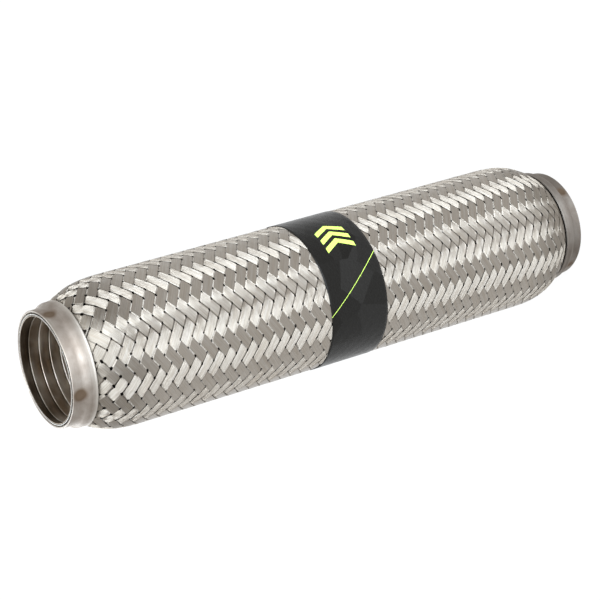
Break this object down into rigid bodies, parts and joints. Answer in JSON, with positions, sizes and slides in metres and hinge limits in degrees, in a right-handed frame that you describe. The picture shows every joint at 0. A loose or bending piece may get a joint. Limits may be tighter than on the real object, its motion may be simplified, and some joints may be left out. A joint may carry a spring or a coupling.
{
  "type": "exhaust flex pipe",
  "caption": "Braided steel exhaust flex pipe: a strip-wound liner, a corrugated bellows and a woven wire sleeve, held by a rolled collar at each end, with a label band round the middle.",
  "frame": {"origin": "centre of the lower rim, in the plane that the pipe stands on", "axes": "+Z along the bore from the lower rim to the upper one, -Y towards the side that the picture shows"},
  "size_m": [0.0742, 0.0742, 0.3],
  "materials": {
    "liner_steel": "dull mill finish with bright folded edges",
    "bellows_steel": "bright annealed sheet",
    "braid_wire": "bright drawn stainless wire",
    "cap_steel": "satin rolled stainless sheet with heat tint at the spot welds",
    "label_film": "glossy printed film"
  },
  "bodies": {
    "root": {"interlock_liner": "liner_steel", "bellows": "bellows_steel", "braid": "braid_wire", "lower_end_cap": "cap_steel", "upper_end_cap": "cap_steel", "label_band": "label_film"}
  },
  "joints": []
}
